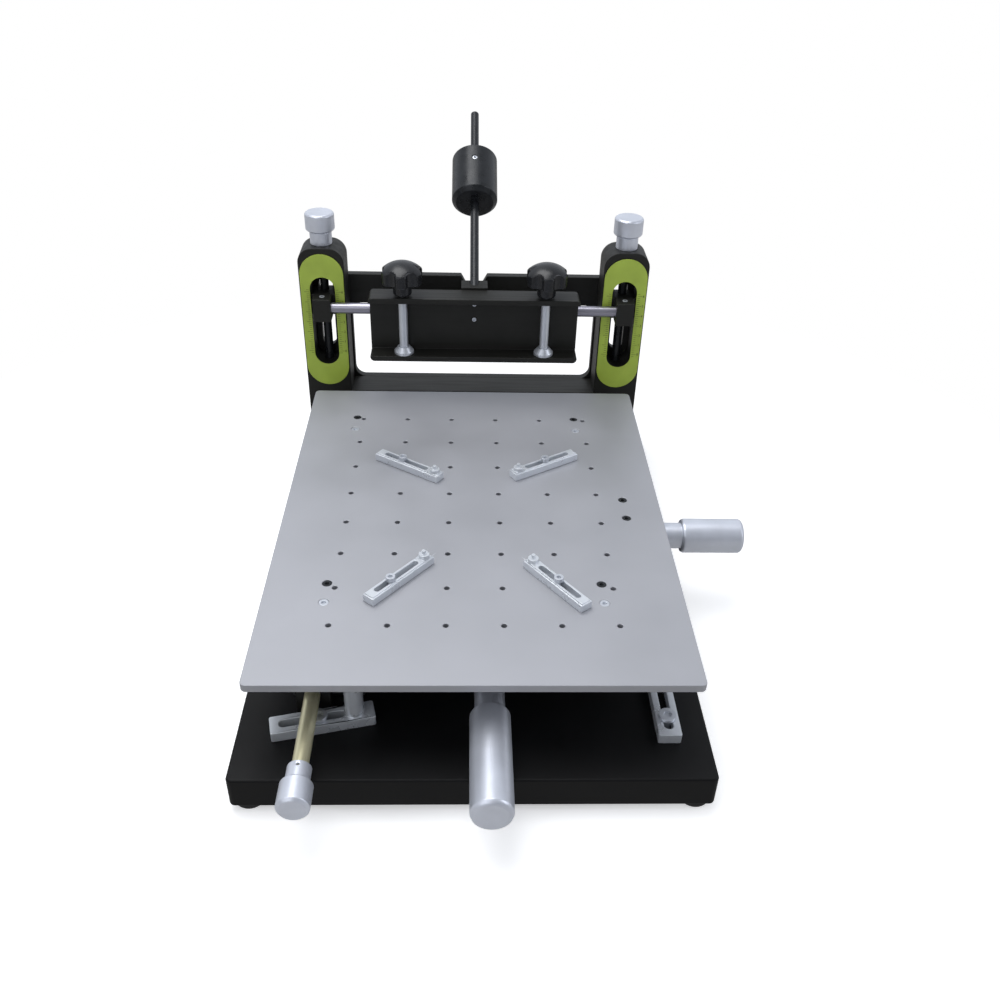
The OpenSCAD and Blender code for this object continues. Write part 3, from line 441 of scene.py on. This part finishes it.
def merged(parts):
    """Several bmeshes as one."""
    whole = bmesh.new()
    for part in parts:
        mesh = bpy.data.meshes.new("part")
        part.to_mesh(mesh)
        part.free()
        whole.from_mesh(mesh)
        bpy.data.meshes.remove(mesh)
    return whole


# Operators, one for each piece or group of like pieces

class PRESS_OT_base(bpy.types.Operator):
    """Finish the folded base tray, its feet, glide pads and pivot"""
    bl_idname = "press.base"
    bl_label = "Base, feet and pivot"

    def execute(self, context):
        dress("base_tray", "tray", context.scene.press_sizes.fold_mm, 3)
        dress("rubber_feet", "rubber", 2.0, 4)
        dress("glide_pads", "nylon", 0.25)
        dress("pivot_pin", "ground")
        return {"FINISHED"}


class PRESS_OT_back_frame(bpy.types.Operator):
    """Finish the posts, the back plate, the beam and their screws"""
    bl_idname = "press.back_frame"
    bl_label = "Posts and back plate"

    def execute(self, context):
        dress("left_post", "black", 0.7, 3)
        dress("right_post", "black", 0.7, 3)
        dress("back_plate", "black", 0.6, 3)
        dress("tie_beam", "black")
        dress("frame_screws", "oxide", 0.25)
        return {"FINISHED"}


class PRESS_OT_labels(bpy.types.Operator):
    """Finish the green labels and print plain ticks and numbers on them"""
    bl_idname = "press.labels"
    bl_label = "Height scales"

    def execute(self, context):
        dress("scale_labels", "label", 0.25)
        low, high = corners("scale_labels")
        ink_mm, line_mm = 0.05, 0.3
        long_mm, short_mm, clear_mm = 4.4, 2.4, 0.9
        scale_half_mm, numeral_out_mm, numeral_step_mm = 32, 6.6, 10
        face_y = low.y - ink_mm
        middle_z = (low.z + high.z) / 2
        slot_half = corners("left_slider")[1].x - middle("left_slider").x + 0.2
        spacing = context.scene.press_sizes.tick_mm
        count = int(scale_half_mm / spacing)
        ticks = []
        for side in (-1, 1):
            post_x = side * abs(middle("left_post").x)
            for step in range(-count, count + 1):
                length = long_mm if step % 5 == 0 else short_mm
                for edge in (-1, 1):
                    bar = bmesh.new()
                    bmesh.ops.create_cube(bar, size=1.0)
                    bmesh.ops.scale(bar, verts=bar.verts,
                                    vec=(length * MM, ink_mm * MM, line_mm * MM))
                    x = post_x + edge * (slot_half + clear_mm + length / 2)
                    put(bar, (x, face_y + ink_mm / 2, middle_z + step * spacing))
                    ticks.append(bar)
            for number in range(-3, 4):
                ticks.append(self.numeral(str(number + 3), post_x + slot_half + numeral_out_mm,
                                          face_y, middle_z + number * numeral_step_mm))
        piece("scale_ticks", merged(ticks), [finish("ink")], "base", smooth_deg=20)
        return {"FINISHED"}

    def numeral(self, text, x, y, z):
        """One small numeral, centred and standing upright on a label."""
        height_mm, ink_half_mm = 3.4, 0.02
        curve = bpy.data.curves.new("numeral", "FONT")
        curve.body = text
        curve.size = height_mm * MM
        curve.align_x = "CENTER"
        curve.align_y = "CENTER"
        curve.extrude = ink_half_mm * MM
        made = bpy.data.objects.new("numeral", curve)
        bpy.context.scene.collection.objects.link(made)
        bpy.context.view_layer.update()
        mesh = bpy.data.meshes.new_from_object(made)
        bpy.data.objects.remove(made)
        bpy.data.curves.remove(curve)
        bm = bmesh.new()
        bm.from_mesh(mesh)
        bpy.data.meshes.remove(mesh)
        upright = Matrix.Translation(Vector((x, y, z)) * MM) @ Matrix.Rotation(math.pi / 2, 4, "X")
        bmesh.ops.transform(bm, matrix=upright, verts=bm.verts)
        return bm


class PRESS_OT_lift(bpy.types.Operator):
    """Finish the lift screws with their knobs, threads and bushes, and the sliders"""
    bl_idname = "press.lift"
    bl_label = "Lift screws and sliders"

    def execute(self, context):
        pitch = context.scene.press_sizes.thread_mm
        dress("lift_bushes", "turned_z")
        shank_mm, above_slot_mm, nose_half_mm = 4.3, 26, 11
        knob_z = corners("lift_bushes")[1].z
        for side in ("left", "right"):
            node = side + "_lift_screw"
            axis = middle(node)

            def on_shank(at):
                return math.hypot(at.x - axis.x, at.y - axis.y) < shank_mm and at.z < knob_z

            dress(node, "turned_z", 0.5, 3, "oxide", on_shank)
            bottom = corners(node)[0].z
            top = corners(side + "_post")[1].z - above_slot_mm
            ridge = thread(THREAD_ROOT_MM, THREAD_CREST_MM, top - bottom - 2, pitch)
            put(ridge, (axis.x, axis.y, bottom + 1))
            piece(side + "_lift_thread", ridge, [finish("oxide")], BODY_OF[node])
            slider = side + "_slider"
            dress(slider, "black", 0.5, 3)
            low = corners(slider)[0]
            nose_top = middle(slider).z + nose_half_mm
            screw = put(socket_set_screw(2.5, 3), (axis.x, low.y + 8, nose_top + 0.5))
            piece(side + "_slider_set_screw", screw, [finish("zinc")], BODY_OF[slider])
        return {"FINISHED"}


class PRESS_OT_clamp(bpy.types.Operator):
    """Finish the clamp channel, the hinge shaft and the rod block with its screws"""
    bl_idname = "press.clamp"
    bl_label = "Frame clamp"

    def execute(self, context):
        dress("clamp_channel", "black", 0.6, 3)
        dress("hinge_shaft", "ground", 0.8)
        dress("rod_block", "black", 0.5)
        web_mm, proud_mm = 5, 0.6
        face_y = corners("clamp_channel")[1].y - web_mm - proud_mm
        hinge_z = middle("hinge_shaft").z
        screws = [put(socket_set_screw(1.95, 5), (0, face_y, hinge_z + up), (0, -1, 0))
                  for up in (-5, 10)]
        piece("web_screws", merged(screws), [finish("zinc")], "clamp")
        return {"FINISHED"}


class PRESS_OT_clamping_screws(bpy.types.Operator):
    """Finish the two clamping screws with their threads, pads and star knobs"""
    bl_idname = "press.clamping_screws"
    bl_label = "Clamping screws"

    def execute(self, context):
        pitch = context.scene.press_sizes.thread_mm
        foot_mm, head_mm = 5.5, 16.5
        for side in ("left", "right"):
            spindle = side + "_spindle"
            low, high = corners(spindle)
            length = high.z - low.z - foot_mm - head_mm
            axis = middle(spindle)
            dress(spindle, "zinc", 0.3)
            ridge = thread(THREAD_ROOT_MM, THREAD_CREST_MM, length, pitch)
            put(ridge, (axis.x, axis.y, low.z + foot_mm))
            piece(side + "_spindle_thread", ridge, [finish("zinc")], BODY_OF[spindle])
            dress(side + "_pad", "zinc", 0.35, 3)
            dress(side + "_star_knob", "phenolic", 1.3, 4)
        return {"FINISHED"}


class PRESS_OT_counterweight(bpy.types.Operator):
    """Finish the rod and the counterweight with its set screw"""
    bl_idname = "press.counterweight"
    bl_label = "Counterweight"

    def execute(self, context):
        dress("counter_rod", "oxide", 0.3)
        dress("counterweight", "oxide", 0.6, 3)
        joints = {joint["name"]: joint for joint in frame["joints"]}
        along = Vector(joints["weight_slide"]["axis"]).normalized()
        up_mm, out_mm = 9.67, 21.4
        front = Vector((0, -along.z, along.y))
        at = middle("counterweight") + along * up_mm + front * out_mm
        screw = put(socket_set_screw(2.4, 6), at, front)
        piece("weight_set_screw", screw, [finish("zinc")], "weight")
        return {"FINISHED"}


class PRESS_OT_table(bpy.types.Operator):
    """Finish the perforated table, its screws and the blocks under it"""
    bl_idname = "press.table"
    bl_label = "Table"

    def execute(self, context):
        dress("table_plate", "table", 0.5, 3)
        dress("table_screws_black", "oxide", 0.25)
        dress("table_screws_zinc", "zinc", 0.25)
        dress("x_bearing_blocks", "milled")
        dress("x_screw_block", "milled")
        return {"FINISHED"}


class PRESS_OT_saddle(bpy.types.Operator):
    """Finish the saddle plate, its rods, blocks and nuts"""
    bl_idname = "press.saddle"
    bl_label = "Saddle"

    def execute(self, context):
        dress("saddle_plate", "milled")
        dress("x_rod_blocks", "milled")
        dress("y_bearing_blocks", "milled")
        dress("x_rods", "ground", 0.5)
        dress("saddle_nuts", "brass")
        return {"FINISHED"}


class PRESS_OT_swivel(bpy.types.Operator):
    """Finish the swivel plate, its rods and blocks"""
    bl_idname = "press.swivel"
    bl_label = "Swivel plate"

    def execute(self, context):
        dress("swivel_plate", "milled")
        dress("y_rod_blocks", "milled")
        dress("y_screw_bracket", "milled")
        dress("y_rods", "ground", 0.5)
        return {"FINISHED"}


class PRESS_OT_handles(bpy.types.Operator):
    """Finish the front and the side handle and their screws"""
    bl_idname = "press.handles"
    bl_label = "Handles"

    def execute(self, context):
        dress("y_handle", "turned_y", 0.4, 3, end=(1, -1, 3))
        dress("x_handle", "turned_x", 0.4, 3, end=(0, 1, 2.5))
        dress("y_screw", "ground")
        dress("x_screw", "ground")
        return {"FINISHED"}


class PRESS_OT_angle(bpy.types.Operator):
    """Finish the angle screw, its knob, bracket and nut"""
    bl_idname = "press.angle"
    bl_label = "Angle screw"

    def execute(self, context):
        dress("angle_screw", "yellow_zinc", 0.3)
        dress("angle_knob", "turned_y", 0.4, 3)
        dress("angle_bracket", "black")
        dress("angle_nut", "brass")
        return {"FINISHED"}


class PRESS_OT_arms(bpy.types.Operator):
    """Finish the four locator arms and their screws"""
    bl_idname = "press.arms"
    bl_label = "Locator arms"

    def execute(self, context):
        for place in ("front_left", "front_right", "rear_left", "rear_right"):
            dress("arm_" + place, "nickel", 0.3)
            dress("arm_screw_" + place, "zinc", 0.25)
        return {"FINISHED"}


class PRESS_OT_bars(bpy.types.Operator):
    """Finish the two slotted bars on the base and their screws"""
    bl_idname = "press.bars"
    bl_label = "Slotted bars"

    def execute(self, context):
        for side in ("left", "right"):
            dress(side + "_bar", "nickel", 0.5, 3)
            dress(side + "_bar_screw", "zinc", 0.3)
        return {"FINISHED"}


class PRESS_OT_stage(bpy.types.Operator):
    """Make the floor, the lamps, the world and the camera"""
    bl_idname = "press.stage"
    bl_label = "Stage"

    def execute(self, context):
        scene = context.scene
        scene.view_settings.view_transform = "Standard"
        self.floor()
        self.world(scene)
        self.lamp("overhead", (-0.4, 0.25, 1.9), 1.3, 20, "#FFFFFF")
        self.lamp("front", (-0.9, -1.3, 1.2), 1.5, 8, "#F7F9FF")
        self.lamp("side", (1.5, -0.5, 0.9), 0.9, 6, "#F3F6FF")
        self.camera(scene)
        return {"FINISHED"}

    def floor(self):
        """A pale floor that keeps the shadow near the press and fades to white further out."""
        bm = bmesh.new()
        bmesh.ops.create_grid(bm, x_segments=8, y_segments=8, size=12)
        mesh = bpy.data.meshes.new("floor")
        bm.to_mesh(mesh)
        bm.free()
        made = bpy.data.objects.new("floor", mesh)
        bpy.context.scene.collection.objects.link(made)
        material, tree, place = blank("pale_floor")
        # Matt white paper that the camera sees brightened, and gloss sees as a grey bench
        paper = add(tree, "ShaderNodeBsdfDiffuse", {"Color": linear("#F4F4F4")})
        lift = add(tree, "ShaderNodeEmission", {"Color": linear("#FFFFFF"), "Strength": 0.42})
        lit = add(tree, "ShaderNodeAddShader", links={0: paper.outputs[0], 1: lift.outputs[0]})
        white = add(tree, "ShaderNodeEmission", {"Color": linear("#FFFFFF"), "Strength": 1.0})
        bench = add(tree, "ShaderNodeEmission", {"Color": linear("#FFFFFF"), "Strength": 0.42})
        away = add(tree, "ShaderNodeVectorMath", links={0: place}, operation="LENGTH")
        far = span(tree, away.outputs["Value"], 0.25, 0.65, 0.0, 1.0)
        open_floor = add(tree, "ShaderNodeMixShader", links={
            0: far, 1: lit.outputs[0], 2: white.outputs[0]})
        ray = add(tree, "ShaderNodeLightPath")
        camera = add(tree, "ShaderNodeMixShader", links={
            0: ray.outputs["Is Camera Ray"], 1: paper.outputs[0], 2: open_floor.outputs[0]})
        close(tree, add(tree, "ShaderNodeMixShader", links={
            0: ray.outputs["Is Glossy Ray"], 1: camera.outputs[0], 2: bench.outputs[0]}))
        mesh.materials.append(material)

    def world(self, scene):
        """White for the camera, and as a light a room with its windows behind the press."""
        world = bpy.data.worlds.new("studio")
        world.use_nodes = True
        tree = world.node_tree
        tree.nodes.clear()
        ray = add(tree, "ShaderNodeLightPath")
        seen = add(tree, "ShaderNodeMath", links={0: ray.outputs["Is Camera Ray"],
                                                  1: ray.outputs["Is Transmission Ray"]},
                   operation="MAXIMUM")
        way = add(tree, "ShaderNodeSeparateXYZ", links={
            0: add(tree, "ShaderNodeTexCoord").outputs["Generated"]})
        window = span(tree, way.outputs["Y"], -0.5, 0.8, 0.26, 0.85)
        soft = add(tree, "ShaderNodeBackground", {"Color": linear("#E9EEF6")}, {"Strength": window})
        white = add(tree, "ShaderNodeBackground", {"Color": linear("#FFFFFF"), "Strength": 1.0})
        both = add(tree, "ShaderNodeMixShader", links={
            0: seen.outputs[0], 1: soft.outputs[0], 2: white.outputs[0]})
        add(tree, "ShaderNodeOutputWorld", links={"Surface": both.outputs[0]})
        scene.world = world

    def lamp(self, name, at, size, power, code):
        """A large soft lamp that points at the press."""
        data = bpy.data.lights.new(name, "AREA")
        data.shape = "SQUARE"
        data.size = size
        data.energy = power
        data.color = linear(code)[:3]
        made = bpy.data.objects.new(name, data)
        made.location = at
        aim = Vector((0, 0, 0.1)) - Vector(at)
        made.rotation_mode = "QUATERNION"
        made.rotation_quaternion = aim.to_track_quat("-Z", "Y")
        bpy.context.scene.collection.objects.link(made)

    def camera(self, scene):
        """The camera of the photograph, from a fit to the grid of holes in the table."""
        focal_px = 993.92
        image_px = 1000
        pitch, yaw, roll = (math.radians(a) for a in (34.678, 2.49, -1.823))
        level = Vector((math.sin(yaw), math.cos(yaw), 0))
        ahead = level * math.cos(pitch) - Vector((0, 0, math.sin(pitch)))
        right = Vector((math.cos(yaw), -math.sin(yaw), 0))
        down = ahead.cross(right)
        across = right * math.cos(roll) + down * math.sin(roll)
        below = down * math.cos(roll) - right * math.sin(roll)
        data = bpy.data.cameras.new("photo")
        data.sensor_width = 36
        data.lens = data.sensor_width * focal_px / image_px
        data.clip_start = 0.01
        data.clip_end = 50
        made = bpy.data.objects.new("photo", data)
        turned = Matrix((across, -below, -ahead)).transposed().to_4x4()
        turned.translation = Vector((-7.8, -672.7, 548.5)) * MM
        made.matrix_world = turned
        scene.collection.objects.link(made)
        scene.camera = made


PIECES = (
    PRESS_OT_base, PRESS_OT_back_frame, PRESS_OT_labels, PRESS_OT_lift, PRESS_OT_clamp,
    PRESS_OT_clamping_screws, PRESS_OT_counterweight, PRESS_OT_table, PRESS_OT_saddle,
    PRESS_OT_swivel, PRESS_OT_handles, PRESS_OT_angle, PRESS_OT_arms, PRESS_OT_bars,
    PRESS_OT_stage,
)


class PRESS_PT_panel(bpy.types.Panel):
    """Lists the sizes, colours and steps of the press"""
    bl_label = "Printing press"
    bl_idname = "PRESS_PT_panel"
    bl_space_type = "VIEW_3D"
    bl_region_type = "UI"
    bl_category = "Press"

    def draw(self, context):
        for group in (context.scene.press_sizes, context.scene.press_colours):
            for key in group.__annotations__:
                self.layout.prop(group, key)
        for operator in PIECES:
            self.layout.operator(operator.bl_idname)


CLASSES = (PressSizes, PressColours, *PIECES, PRESS_PT_panel)


def register():
    for cls in CLASSES:
        bpy.utils.register_class(cls)
    bpy.types.Scene.press_sizes = bpy.props.PointerProperty(type=PressSizes)
    bpy.types.Scene.press_colours = bpy.props.PointerProperty(type=PressColours)


def unregister():
    del bpy.types.Scene.press_colours
    del bpy.types.Scene.press_sizes
    for cls in reversed(CLASSES):
        bpy.utils.unregister_class(cls)


def main():
    register()
    for operator in PIECES:
        group, name = operator.bl_idname.split(".")
        getattr(getattr(bpy.ops, group), name)()


if __name__ == "__main__":
    main()
